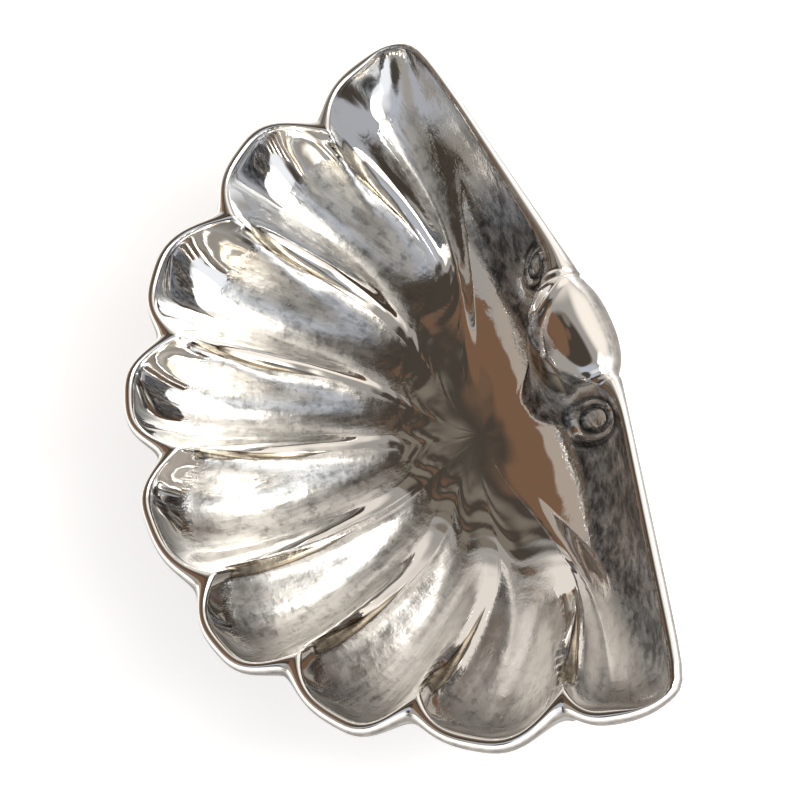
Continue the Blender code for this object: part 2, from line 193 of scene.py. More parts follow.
# One smooth surface in the bowl's middle: its reach aside, towards the hinge and
# towards the fan, and as shares of that how far it is fitted and where it gives way.
EVEN_ASIDE = 0.020
EVEN_TO_HINGE = 0.0125
EVEN_TO_FAN = 0.025
EVEN_FIT = 1.15
EVEN_BLEND = (0.40, 1.0)
EVEN_DEGREE = 8           # degree of the surface in plan
EVEN_LEAST_WEIGHT = 0.05  # points weigh less where the columns crowd

# Scrolls on the wall, in shares of their own half axes, as reach and half width.
# The ring drifts outwards by so much in one turn.
RING_REACH = 0.92
RING_DRIFT = 0.10
RING_WIDTH = 0.14
OUTER_MOAT = (1.26, 0.15)
INNER_MOAT = (0.70, 0.08)
MOAT_DEPTH = 0.5          # as a share of the ring's height, and so is the next
BOSS_HEIGHT = 0.55
BOSS_EDGE = (0.45, 0.66)
RELIEF_FOOT = (-0.0235, -0.0190)    # heights over which the relief ends at the foot

# Ripples where the flutes start. Reaches are in metres from the fan centre, and
# for the clear place from the deepest point.
RIPPLE_HEIGHT = 0.000036
RIPPLE_LENGTH = 0.0030
RIPPLE_ARCH = 0.0014      # how far they bow from flute to ridge
RIPPLE_BAND = (0.036, 0.0065)       # middle of their band, and its half width
RIPPLE_CLEAR = (0.004, 0.013)
RIPPLE_TURN = (0.4, 0.8)  # they fade towards the hinge

# Unevenness of the hand-worked surface, as heights by share of the way out.
CLOUD_SIZE = 0.011
CLOUD_SHIFT = (7.3, 3.1, 5.7)
CLOUD_OCTAVES = 3
CLOUD_HEIGHT = 0.00005
CLOUD_EXTRA_HEIGHT = 0.00008
CLOUD_RISE = (0.15, 0.5)
CLOUD_EDGE = (1.0, 0.93)

# Where the finish changes. A share is one of the way out to the edge, and a reach
# is in metres from the fan centre.
FAN_TURN = (0.25, 0.75)   # turn of the columns from hinge to fan
HINGE_WALL = (0.40, 0.55)           # share at which the hinge wall starts
LOWER_FAN = (-32.0, 12.0)           # bearing from the upper to the lower flutes
LOW_END = (20.0, 42.0)    # bearing at which the low end of the fan starts
SATIN_START = (0.030, 0.052)        # reach at which the satin scoops start
SATIN_END = 0.905         # share at which they end in the upper flutes
SATIN_END_LOWER = 0.075   # how much later they end in the lower flutes
SATIN_END_FADE = (0.05, 0.02)       # share before and beyond over which they end
POLISHED_FLANK = (0.30, 0.62)       # nearness to the ridge on its polished side
POLISHED_CREST = (0.66, 0.88)       # the same in the low end of the fan
RUBBED_FLANK = (0.82, 1.0)          # the same on the ridge's other side
RUBBED_STRENGTH = 0.7
WALL_SATIN = (0.56, 0.68)           # share at which the wall's satin starts
WALL_SATIN_LEFT = (-0.050, -0.032)  # X at which it starts
WALL_SATIN_RIGHT = (0.060, 0.078)   # X at which it ends
SHADED_ENDS = (0.84, 0.97)          # share, in the lower flutes
SHADED_MIDDLE = (0.034, 0.052)      # reach
SHADED_MIDDLE_STRENGTH = 0.6
# Painted light: the flutes of the low end lightened towards a cream colour, standing in for the
# pale room and glare they mirror.
PAINTED_LIGHT_FLUTES = (26.0, 46.0)          # bearing of the flutes lightened with painted light
PAINTED_LIGHT_START = (0.034, 0.050)         # reach
PAINTED_LIGHT_END = (0.80, 0.92)   # share
PAINTED_LIGHT_STRENGTH = 0.60
OUTER_LIP = (0.80, 0.95)  # share of the lip's width at which its outer skin starts
LIP_ROLL = (0.05, 0.40)   # share of the lip's width at which the hinge wall's satin ends
ROLL_CLEAR = 0.0006       # height of the knob at which the roll of the lip has ended
WEAR_AND_SHADE_HEIGHT = 0.0008      # relief that counts in full: worn bright where raised, painted shade where sunk

# Noise of the surface, each as scale, detail and roughness.
PATCH_NOISE = (70.0, 3.0, 0.5)
CLOUD_NOISE = (210.0, 4.0, 0.6)
DAPPLE_NOISE = (520.0, 3.0, 0.6)
GRAIN_NOISE = (1500.0, 2.0, 0.6)
STREAK_NOISE = (900.0, 4.0, 0.65)
STREAK_ACROSS = 0.050     # streaks run outwards: metres a radian, then along the reach
STREAK_ALONG = 0.16

# How strongly each noise frays the edge of the satin skin, and what it mixes into.
FRAY_BY_PATCH = 0.7
FRAY_BY_CLOUD = 0.5
FRAY_BY_STREAK = 1.0
BRIGHT_CLEARS = 0.7       # share of the satin skin that worn relief has lost
MOTTLE_MIX = (0.4, 0.6)   # cloud and streak
PATINA_AND_SHADE_MIX = (0.5, 0.5)   # cloud and dapple
RIND_MIX = (0.4, 0.6)     # cloud and dapple

# Colours of the metal and of the light and shade painted on it, then ramps as positions with a grey
# level or a colour.
POLISHED = (0.87, 0.855, 0.83)
CASTING = (0.90, 0.89, 0.86)
# painted light: the cream colour that the lit flutes are lightened towards
PAINTED_LIGHT_CASTING = (0.97, 0.955, 0.93)
RAISED = (0.70, 0.70, 0.70)
UNSHADED = (1.0, 1.0, 1.0)
SHADED = (0.66, 0.66, 0.67)
BRUSHED_BY_REACH = ((0.040, 0.0), (0.060, 0.7))
SKIN_BY_EDGE = ((0.22, 0.0), (0.78, 1.0))
SKIN_BY_SATIN = ((0.02, 0.0), (0.30, 1.0))
BRIGHT_BY_WEAR = ((0.15, 0.0), (0.75, 0.85))
# painted shade in the sunk relief, darker the deeper it lies
RECESS_SHADE_BY_DEPTH = ((0.06, 1.0), (0.40, 0.25))
MOTTLE_STOPS = ((0.39, 0.60), (0.54, 1.0))
PIT_STOPS = ((0.30, 0.60), (0.46, 1.0))
# dark colour of the hinge wall: partly patina, partly painted shade for the dark bowl that the wall
# mirrors
PATINA_AND_SHADE_STOPS = ((0.42, (0.11, 0.114, 0.124)), (0.60, (0.56, 0.565, 0.585)))
# painted shade and highlight in the crest grooves: dark edges and a warm gold middle
GROOVE_SHADE_AND_HIGHLIGHT_STOPS = ((0.02, 1.0), (0.14, (0.24, 0.21, 0.18)), (0.42, (0.84, 0.76, 0.62)))
RIND_STOPS = ((0.36, (0.16, 0.145, 0.13)), (0.64, (0.33, 0.305, 0.275)))
POLISHED_ROUGHNESS = 0.05
SATIN_ROUGHNESS = 0.27
ROUGHNESS_BY_CLOUD = 0.30
HINGE_SMOOTHER = 0.08
BUMP_HEIGHT = 0.00018
BUMP_STRENGTH = 0.8
BUMP_BY_DAPPLE = 0.45
BUMP_BY_GRAIN = 0.08
BUMP_BY_SKIN = 0.93
BUMP_BY_HINGE = 0.9
LEAST_BUMP = 0.02

# Floor, lamp and the room that the metal mirrors.
FLOOR_HALF_SIZE = 3.0
FLOOR_COLOUR = (0.9, 0.9, 0.9)
FLOOR_ROUGHNESS = 0.9
FLOOR_GLOW = 0.62
LAMP_PLACE = (0.45, 0.85, 0.75)
LAMP_SIZE = (0.35, 0.45)
LAMP_POWER = 4.0
WHITE = (1.0, 1.0, 1.0)
ROOM_TONE = (0.38, 0.36, 0.335)

# Parts of the room as direction, inner and outer angle, and tone.
ROOM_PARTS = (
    ((-0.95, 0.10, 0.10), 30, 46, (0.86, 0.80, 0.74)),
    ((-0.60, -0.75, 0.25), 14, 34, (0.45, 0.38, 0.32)),
    ((0.65, -0.20, 0.70), 14, 34, (0.50, 0.53, 0.60)),
    ((-0.12, -0.20, 0.97), 23, 32, (0.067, 0.056, 0.045)),
    ((-0.46, 0.03, 0.89), 3, 7, (0.22, 0.19, 0.155)),
    ((-0.30, -0.12, 0.95), 2, 6, (0.17, 0.105, 0.07)),
    ((-0.36, -0.49, 0.79), 17, 22, (0.20, 0.115, 0.07)),
    ((-0.35, 0.85, 0.40), 14, 34, (1.10, 1.02, 0.93)),
    ((0.97, 0.10, 0.16), 10, 24, (1.00, 1.04, 1.10)),
    ((0.86, -0.38, 0.32), 8, 17, (0.07, 0.06, 0.05)),
    ((0.40, 0.90, 0.10), 14, 30, (1.35, 1.38, 1.45)),
    ((0.38, 0.72, 0.58), 18, 27, (2.45, 2.30, 2.08)),
    ((0.80, 0.50, 0.33), 10, 17, (2.05, 2.12, 2.20)),
)

# Camera of the photograph: its lens in millimetres, its directions, and its place
# from the fan centre.
CAMERA_LENS = 135.0
CAMERA_SENSOR = 36.0
CAMERA_ACROSS = (0.3535837, 0.9102697, -0.2153780)
CAMERA_UP = (-0.8444701, 0.4096623, 0.3450319)
CAMERA_BACK = (0.4023043, 0.0598826, 0.9135455)
CAMERA_PLACE = (0.2266578, 0.0009848, 0.5485581)


FAN_CENTRE = np.array((0.0, 0.0))
DEEPEST = np.array((0.0, -DEEPEST_FORWARD))


def smooth_step(low, high, value):
    """Ease from 0 to 1 while value goes from low to high."""
    share = np.clip((value - low) / (high - low), 0.0, 1.0)
    return share * share * (3.0 - 2.0 * share)


def ease(span, value):
    """Ease from 0 to 1 while value goes through the span."""
    return smooth_step(span[0], span[1], value)


def plan_point(bearing, reach):
    """Plan position at a bearing in degrees and a share of a full lobe's reach."""
    angle = math.radians(bearing)
    across = reach * FAN_HALF_LENGTH * math.sin(angle)
    return np.array((across, -reach * FAN_FRONT * math.cos(angle)))


def by_side(pair, across):
    """Value for the -X or the +X side, eased from one to the other at the knob."""
    share = float(smooth_step(-KNOB_HALF_WIDTH, KNOB_HALF_WIDTH, across))
    return pair[0] + (pair[1] - pair[0]) * share


def hinge_line(across):
    """Y of the hinge edge at a given X."""
    slope = by_side(HINGE_SLOPES, across)
    return by_side(HINGE_REACHES, across) - slope * abs(across)


def hinge_reach(bearing):
    """Reach of the hinge edge, as a share, along a bearing beyond the last lobes."""
    side = 0 if bearing < 0 else 1
    across, along = plan_point(bearing, 1.0)
    towards = HINGE_SLOPES[side] * abs(across) + along
    return HINGE_REACHES[side] / towards if towards > NEARLY_LEVEL else NEVER_MET


def band_width(across):
    """Width of the hinge band, which changes evenly from knob to corner."""
    side = 0 if across < 0 else 1
    corner = abs(plan_point(CORNER_BEARINGS[side], hinge_reach(CORNER_BEARINGS[side]))[0])
    share = float(smooth_step(KNOB_HALF_WIDTH, corner, abs(across)))
    near = by_side(BANDS_AT_KNOB, across)
    return near + (BANDS_AT_CORNER[side] - near) * share


def bowl_edge_behind(across, bulging=1.0):
    """Y of the bowl's edge along the hinge, bulging forward round the knob."""
    straight = hinge_line(across) - band_width(across)
    front = KNOB_SETBACK - KNOB_INNER_DEPTH
    bulge = front - (hinge_line(0.0) - band_width(0.0))
    aside = abs((across - KNOB_ASIDE) / KNOB_INNER_SPREAD)
    return straight + bulging * bulge * math.exp(-aside ** KNOB_BULGE_POWER)


def lobe_columns(number):
    """Columns of one lobe as (rim point, bowl edge point, nearness to a ridge)."""
    tip_bearing, tip_reach = LOBE_TIPS[number]
    last = len(LOBE_TIPS) - 1
    columns = []
    for step in range(LOBE_STEPS + 1):
        turned = 0.5 * math.pi * RIDGE_CROWDING
        side = math.sin(turned * (2.0 * step / LOBE_STEPS - 1.0)) / math.sin(turned)
        if side < 0 and number > 0:
            end_bearing, end_reach = LOBE_VALLEYS[number - 1]
        elif side > 0 and number < last:
            end_bearing, end_reach = LOBE_VALLEYS[number]
        else:
            end_bearing = CORNER_BEARINGS[0 if number == 0 else 1]
            end_reach = CORNER_SHARE
        bearing = tip_bearing + abs(side) * (end_bearing - tip_bearing)
        if 0 <= number + side <= last:
            fall = abs(side) ** LOBE_ROUNDNESS
            fall = fall * (2.0 - fall)
        else:
            fall = abs(side) ** END_ROUNDNESS
        reach = tip_reach + (end_reach - tip_reach) * fall
        hinge = hinge_reach(bearing)
        power = -CORNER_SHARPNESS
        reach = (reach ** power + hinge ** power) ** (1.0 / power)
        outward = -side if number == 0 else side if number == last else -1.0
        corner = float(ease(CORNER_EASE, outward))
        rim = plan_point(bearing, reach)
        web = abs(side) ** WEB_SHARPNESS * (1.0 - corner)
        width = RIM_WIDTH + (WEB_WIDTH - RIM_WIDTH) * web
        inward = (1.0 - corner) * -rim / np.linalg.norm(rim)
        inward = inward + corner * np.array((0.0, -1.0))
        inward = inward / np.linalg.norm(inward)
        band = BANDS_AT_CORNER[0 if number == 0 else 1]
        width = width + corner * (band - width)
        flank = 0.0 if outward > 0 else abs(side)
        columns.append((rim, rim + width * inward, flank))
    return columns


def hinge_columns(sign):
    """Columns along the straight hinge edge, from the knob to the end corner."""
    bearing = CORNER_BEARINGS[0 if sign < 0 else 1]
    end = plan_point(bearing, hinge_reach(bearing))
    columns = []
    for step in range(1, HINGE_STEPS):
        share = (step / HINGE_STEPS) ** HINGE_STEP_POWER
        start = KNOB_ASIDE + sign * KNOB_HALF_WIDTH
        across = start + share * (HINGE_END_SHARE * end[0] - start)
        rim = np.array((across, hinge_line(across)))
        inner = np.array((across, bowl_edge_behind(across)))
        columns.append((rim, inner, 0.0))
    return columns


def notch(across):
    """1 in the middle of either notch beside the knob, 0 away from them."""
    return np.exp(-((np.abs(across - KNOB_ASIDE) - NOTCH_ACROSS) / NOTCH_WIDTH) ** 2)


def knob_columns():
    """Columns across the knob, from the +X notch to the -X notch."""
    columns = []
    for step in range(KNOB_STEPS + 1):
        share = math.cos(math.pi * step / KNOB_STEPS)
        across = KNOB_ASIDE + KNOB_HALF_WIDTH * share
        share = abs(share)
        arc = max(0.0, 1.0 - share ** KNOB_ROUNDNESS) ** (1.0 / KNOB_ROUNDNESS)
        outer = max(hinge_line(across), KNOB_SETBACK + KNOB_OUTER_DEPTH * arc)
        rim = np.array((across, outer - NOTCH_INSET * float(notch(across))))
        inner = np.array((across, bowl_edge_behind(across)))
        columns.append((rim, inner, 0.0))
    return columns


def all_columns():
    """Columns once round the shell, starting at the -X end corner."""
    columns = []
    for number in range(len(LOBE_TIPS)):
        lobe = lobe_columns(number)
        columns += lobe if number == 0 else lobe[1:]
    columns += hinge_columns(1.0)[::-1]
    columns += knob_columns()
    columns += hinge_columns(-1.0)
    return columns


def fan_turn(edge):
    """How far each column turns radial: 1 between the end ridges, 0 at the hinge."""
    away = edge - DEEPEST
    bearing = np.arctan2(away[:, 0], -away[:, 1])
    last = LOBE_STEPS * len(LOBE_TIPS)
    clear = 2 * LOBE_STEPS // 3
    marks = bearing[[0, clear, last - clear, last]]
    return np.interp(bearing, marks, (0.0, 1.0, 1.0, 0.0))


def reach_table(points):
    """Bearings and reaches of a closed outline as seen from the deepest point."""
    away = points - DEEPEST
    bearing = np.arctan2(away[:, 0], -away[:, 1])
    reach = np.hypot(away[:, 0], away[:, 1])
    order = np.argsort(bearing)
    bearing = bearing[order]
    reach = reach[order]
    full = 2.0 * math.pi
    bearing = np.concatenate((bearing - full, bearing, bearing + full))
    return bearing, np.concatenate((reach, reach, reach))


def foot_outline(points):
    """The outline that the foot of the wall follows, which passes the knob closer."""
    foot = points.copy()
    beside = np.abs(points[:, 0]) < FOOT_BESIDE * KNOB_INNER_SPREAD
    for number in np.flatnonzero(beside & (points[:, 1] > DEEPEST[1])):
        across = points[number, 0]
        back = bowl_edge_behind(across, KNOB_SHADOW) - bowl_edge_behind(across)
        foot[number, 1] += back
    return foot


def soft_table(points):
    """The foot outline with its corners and scallops melted away."""
    table = reach_table(foot_outline(points))
    even = np.radians(np.arange(-180.0, 180.0, 1.0))
    reach = np.interp(even, table[0], table[1])
    offsets = np.arange(-SOFTENING_REACH, SOFTENING_REACH + 1)
    weights = np.exp(-0.5 * (offsets / OUTLINE_SOFTENING) ** 2)
    parts = [weight * np.roll(reach, offset) for weight, offset in zip(weights, offsets)]
    soft = np.sum(parts, axis=0) / weights.sum()
    full = 2.0 * math.pi
    even = np.concatenate((even - full, even, even + full))
    return even, np.concatenate((soft, soft, soft))


def way_out(points, outline):
    """Share of the way from the deepest point to the outline, 1 on the edge.

    Near the edge it follows the outline closely, further in a softened one.
    """
    table = reach_table(outline)
    soft = soft_table(outline)
    away = points - DEEPEST
    bearing = np.arctan2(away[..., 0], -away[..., 1])
    reach = np.hypot(away[..., 0], away[..., 1])
    close = reach / np.interp(bearing, table[0], table[1])
    loose = reach / np.interp(bearing, soft[0], soft[1])
    return loose + (close - loose) * ease(OUTLINE_SPAN, close)


def bowl_curve(share, curve):
    """Depth, from 1 in the middle to 0 at the edge, as a superellipse."""
    inside = np.clip(1.0 - np.clip(share, 0.0, 1.0) ** curve[0], 0.0, 1.0)
    return inside ** (1.0 / curve[1])


def blend_curves(hinge, fan, turn):
    """Superellipse exponents for each column, from the hinge's to the fan's."""
    share = smooth_step(0.0, 1.0, turn)[None]
    return hinge[0] + (fan[0] - hinge[0]) * share, hinge[1] + (fan[1] - hinge[1]) * share


def ridge_profile(flank):
    """Rise from a flute's floor, 0, to the flat crest of its ridge, 1."""
    way = np.clip(flank / (1.0 - CREST_SHARE), 0.0, 1.0)
    return 1.0 - (1.0 - way ** FLUTE_ROUNDNESS) ** 2


def column_path(edge, turn, share):
    """Plan points along the columns, turning radial towards the rim."""
    straight = DEEPEST + share[..., None] * (edge - DEEPEST)
    bend = turn * ease(FAN_BEND, share) * (1.0 - share)
    return straight + bend[..., None] * (FAN_CENTRE - DEEPEST)


def knob_radius(points):
    """1 on the knob's footprint edge, 0 at its centre."""
    across = np.abs(points[..., 0] - KNOB_ASIDE) / KNOB_HALF_WIDTH
    depth = np.where(points[..., 1] > KNOB_SETBACK, KNOB_OUTER_DEPTH, KNOB_INNER_DEPTH)
    along = np.abs(points[..., 1] - KNOB_SETBACK) / depth
    return (across ** KNOB_ROUNDNESS + along ** KNOB_ROUNDNESS) ** (1.0 / KNOB_ROUNDNESS)


def knob_height(points):
    """Dome of the knob above the hinge band, with the notches beside it."""
    radius = knob_radius(points)
    dome = KNOB_RISE * np.clip(1.0 - radius * radius, 0.0, 1.0) ** KNOB_DOME_POWER
    behind = smooth_step(KNOB_SETBACK - KNOB_INNER_DEPTH, KNOB_SETBACK, points[..., 1])
    return dome - NOTCH_DEPTH * notch(points[..., 0]) * behind


def ridge_strength(points):
    """0 in the smooth middle of the bowl, 1 where the ridges have their full height."""
    reach = np.hypot(points[..., 0], points[..., 1])
    return ease(RIDGE_START, reach)


def ridge_spread(points):
    """Half distance between neighbouring ridges at each plan point."""
    count = len(LOBE_VALLEYS) - 1
    fan = math.radians(LOBE_VALLEYS[-1][0] - LOBE_VALLEYS[0][0])
    reach = np.hypot(points[..., 0], points[..., 1])
    return 0.5 * fan / count * reach


def crest_groove(share, flank, spread):
    """Depth of the tapered groove along each crest."""
    taper = np.clip((share - GROOVE_SPAN[0]) / (GROOVE_SPAN[1] - GROOVE_SPAN[0]), 0.0, 1.0)
    blunt = 1.0 - smooth_step(GROOVE_SPAN[2], GROOVE_SPAN[3], share)
    half_width = GROOVE_WIDTH * np.maximum(taper, GROOVE_LEAST_WIDTH)
    aside = (1.0 - flank) * spread / half_width
    return GROOVE_DEPTH * taper * blunt * np.clip(1.0 - aside * aside, 0.0, 1.0)


def bowl_row_shares():
    """Share of the way out of each row in the bowl, 0 at the deepest point."""
    return np.cos(0.5 * math.pi * np.linspace(1.0, 0.0, BOWL_STEPS + 1)) ** BOWL_STEP_POWER


def bowl_surface(edge, flank, turn):
    """Inside of the bowl, rows from the deepest point to the edge."""
    share = bowl_row_shares()
    share = np.broadcast_to(share[:, None], (len(share), len(edge)))
    points = column_path(edge[None], turn[None], share)
    out = way_out(points, edge)
    flute = bowl_curve(out, blend_curves(HINGE_WALL_CURVE, FLUTE_CURVE, turn))
    ridge = bowl_curve(out, RIDGE_CURVE)
    spread = ridge_spread(points)
    rise = ridge_profile(flank[None])
    rise = rise * ridge_strength(points)
    depth = flute + (ridge - flute) * rise
    low = LIP_INNER_FALL
    height = -low - (BOWL_DEPTH - low) * depth
    height = height - crest_groove(share, flank[None], spread)
    return np.dstack((points, height))


def lip_surface(edge, rim):
    """Rounded lip and knob, rows from just inside to the outer edge."""
    share = np.linspace(0.0, 1.0, LIP_STEPS + 1)[1:, None]
    points = edge[None] + share[..., None] * (rim - edge)[None]
    inward = np.clip(1.0 - share / LIP_TOP, 0.0, 1.0)
    outward = np.clip((share - LIP_TOP) / (1.0 - LIP_TOP), 0.0, 1.0)
    inner = LIP_INNER_FALL * inward ** LIP_INNER_POWER
    outer = LIP_OUTER_FALL * outward ** LIP_OUTER_POWER
    return np.dstack((points, knob_height(points) - inner - outer))


def wall_bulge(points, valley, share):
    """Outward shift of the outer wall below the lip, largest in the valleys."""
    away = points - DEEPEST
    away = away / np.maximum(np.linalg.norm(away, axis=-1, keepdims=True), TINY)
    low = ease(WALL_BULGE_SPAN, share)
    high = 1.0 - smooth_step(WALL_BULGE_SPAN[1], 1.0, share) ** 2
    return (WALL_BULGE * valley ** BULGE_POWER * low * high)[..., None] * away


def under_surface(rim, body, flank, turn):
    """Outside of the bowl, rows from under the lip to the middle of the foot."""
    angle = np.linspace(0.0, 1.0, UNDER_STEPS + 1)[1:]
    share = np.cos(0.5 * math.pi * angle) ** UNDER_STEP_POWER
    share[0] = UNDER_FIRST_ROW
    share = np.broadcast_to(share[:, None], (len(share), len(rim)))
    points = column_path(rim[None], turn[None], share)
    out = way_out(points, body)
    points = points + wall_bulge(points, flank[None] * turn[None], share)
    flute = bowl_curve(out, blend_curves(UNDER_HINGE_CURVE, UNDER_FLUTE_CURVE, turn))
    ridge = bowl_curve(out, UNDER_RIDGE_CURVE)
    rise = ridge_profile(flank[None])
    rise = rise * ridge_strength(points)
    depth = flute + (ridge - flute) * rise
    low = LIP_OUTER_FALL
    full = BOWL_DEPTH + BASE_THICKNESS + FOOT_GRIND
    height = -low - (full - low) * depth
    foot = BOWL_DEPTH + BASE_THICKNESS
    radius = knob_radius(points)
    round_power, side_power = KNOB_UNDER_POWERS
    beak = -KNOB_THICKNESS * np.clip(1.0 - radius ** round_power, 0.0, 1.0) ** side_power
    beak = np.where(radius < 1.0, beak - low, 0.0)
    height = np.minimum(height, beak)
    return np.dstack((points, np.maximum(height, -foot)))


def body_outline(rim, inner):
    """Outline of the bowl's outside, which passes under the knob."""
    body = rim.copy()
    share = np.abs(rim[:, 0] - KNOB_ASIDE) / KNOB_HALF_WIDTH
    pick = (share < KNOB_SIDE_LIMIT) & (rim[:, 1] > 0.0)
    wall = inner[:, 1] + KNOB_BACK_WALL
    back = np.minimum(rim[:, 1], wall + (rim[:, 1] - wall) * share ** KNOB_BACK_POWER)
    body[pick, 1] = back[pick]
    return body


def grid_normals(skin):
    """Normals of the skin, rows by columns, from the grid's own directions."""
    down = np.gradient(skin, axis=0)
    wrapped = np.concatenate((skin[:, -1:], skin, skin[:, :1]), axis=1)
    around = np.gradient(wrapped, axis=1)[:, 1:-1]
    normal = np.cross(around, down)
    length = np.linalg.norm(normal, axis=2, keepdims=True)
    return normal / np.maximum(length, TINY)


def near_path(points, path):
    """Distance of each point from a chain of straight pieces, 1 m at most."""
    best = np.full(points.shape[:-1], 1.0)
    for first, second in zip(path[:-1], path[1:]):
        first = np.array(first)
        along = np.array(second) - first
        share = np.clip(((points - first) @ along) / (along @ along), 0.0, 1.0)
        gap = points - first - share[..., None] * along
        best = np.minimum(best, np.hypot(gap[..., 0], gap[..., 1]))
    return best


def hump(value, middle, width):
    """Bell from 1 where value is at the middle to 0 well away from it."""
    return np.exp(-((value - middle) / width) ** 2)


def cloudy(points):
    """Cloudy unevenness from -1 to 1 at each point of the skin."""
    flat = points.reshape(-1, 3)
    shift = Vector(CLOUD_SHIFT)
    values = [noise.fractal(Vector(point) / CLOUD_SIZE + shift, 1.0, 2.0, CLOUD_OCTAVES)
              for point in flat]
    return np.array(values).reshape(points.shape[:-1])


def scroll_relief(face):
    """Height of the scrolls on the wall, each a boss within a ring and two moats."""
    lift = np.zeros(face.shape[:-1])
    for centre, long_axis, short_axis, height in WALL_SCROLLS:
        spread = long_axis[0] * short_axis[1] - long_axis[1] * short_axis[0]
        gap = face - np.array(centre)
        first = (gap[..., 0] * short_axis[1] - gap[..., 1] * short_axis[0]) / spread
        second = (gap[..., 1] * long_axis[0] - gap[..., 0] * long_axis[1]) / spread
        reach = np.hypot(first, second)
        turned = np.arctan2(second, first) / (2.0 * math.pi)
        ring = hump(reach - RING_REACH, RING_DRIFT * turned, RING_WIDTH)
        moat = hump(reach, *OUTER_MOAT) + hump(reach, *INNER_MOAT)
        boss = BOSS_HEIGHT * (1.0 - ease(BOSS_EDGE, reach))
        lift += height * (boss + ring - MOAT_DEPTH * moat)
    return lift


def fine_relief(points, hinge):
    """Fine relief of the wall and the knob's edge, square to their surface.

    The wall stands nearly upright, so its scrolls are drawn in its own face,
    from x and the height below the lip.
    """
    face = points[..., ::2]
    lift = scroll_relief(face)
    flat = face * np.array((1.0, WALL_SQUEEZE))
    for path, width, height in WALL_STRIPS:
        chain = [(x, z * WALL_SQUEEZE) for x, z in path]
        lift += height * hump(near_path(flat, chain), 0.0, width)
    lift *= hinge * ease(RELIEF_FOOT, points[..., 2])
    for path, width, height in STRIPS:
        lift += height * hump(near_path(points[..., :2], path), 0.0, width)
    return lift


def even_middle(skin):
    """Heights made one smooth surface round the bowl's middle, where the columns crowd."""
    along = skin[..., 0] - DEEPEST[0]
    away = skin[..., 1] - DEEPEST[1]
    depth = np.where(away > 0.0, EVEN_TO_HINGE, EVEN_TO_FAN)
    reach = np.hypot(along / EVEN_ASIDE, away / depth)
    near = reach < EVEN_FIT
    powers = [(i, j) for i in range(EVEN_DEGREE + 1) for j in range(EVEN_DEGREE + 1 - i)]
    terms = [(along / EVEN_ASIDE) ** i * (away / EVEN_ASIDE) ** j for i, j in powers]
    weight = np.sqrt(reach[near] + EVEN_LEAST_WEIGHT)
    table = np.stack([term[near] * weight for term in terms], axis=1)
    fit = np.linalg.lstsq(table, skin[..., 2][near] * weight, rcond=None)[0]
    even = np.sum([factor * term for factor, term in zip(fit, terms)], axis=0)
    share = ease(EVEN_BLEND, reach)
    return np.where(near, even + (skin[..., 2] - even) * share, skin[..., 2])


def flute_ripples(points, flank, turn):
    """Faint ripples where each flute starts, arched towards the middle of the bowl."""
    clear = np.hypot(points[..., 0] - DEEPEST[0], points[..., 1] - DEEPEST[1])
    clear = ease(RIPPLE_CLEAR, clear)
    way = np.hypot(points[..., 0], points[..., 1]) - RIPPLE_ARCH * clear * np.cos(math.pi * flank)
    fade = clear * hump(way, *RIPPLE_BAND) * ease(RIPPLE_TURN, turn)
    return RIPPLE_HEIGHT * fade * np.cos(2.0 * math.pi * way / RIPPLE_LENGTH)


def flute_satin(share, reach, side, lower, low_end):
    """Satin casting skin in the scoop of each flute, from 0 to 1.

    The ridges are polished on the side that side counts as positive, and in the
    low end of the fan on both sides of a narrower crest.
    """
    end = SATIN_END + SATIN_END_LOWER * lower
    before, beyond = SATIN_END_FADE
    fade = 1.0 - smooth_step(end - before, end + beyond, share)
    scoop = ease(SATIN_START, reach) * fade
    crest = ease(POLISHED_FLANK, side)
    crest = crest + (ease(POLISHED_CREST, side) - crest) * low_end
    polished = crest + low_end * ease(POLISHED_CREST, -side)
    rubbed = RUBBED_STRENGTH * ease(RUBBED_FLANK, -side)
    return scoop * (1.0 - polished) * (1.0 - rubbed)


def wall_satin(share, across):
    """Satin casting skin on the hinge wall, from 0 to 1."""
    wall = ease(WALL_SATIN, share)
    return wall * ease(WALL_SATIN_LEFT, across) * (1.0 - ease(WALL_SATIN_RIGHT, across))


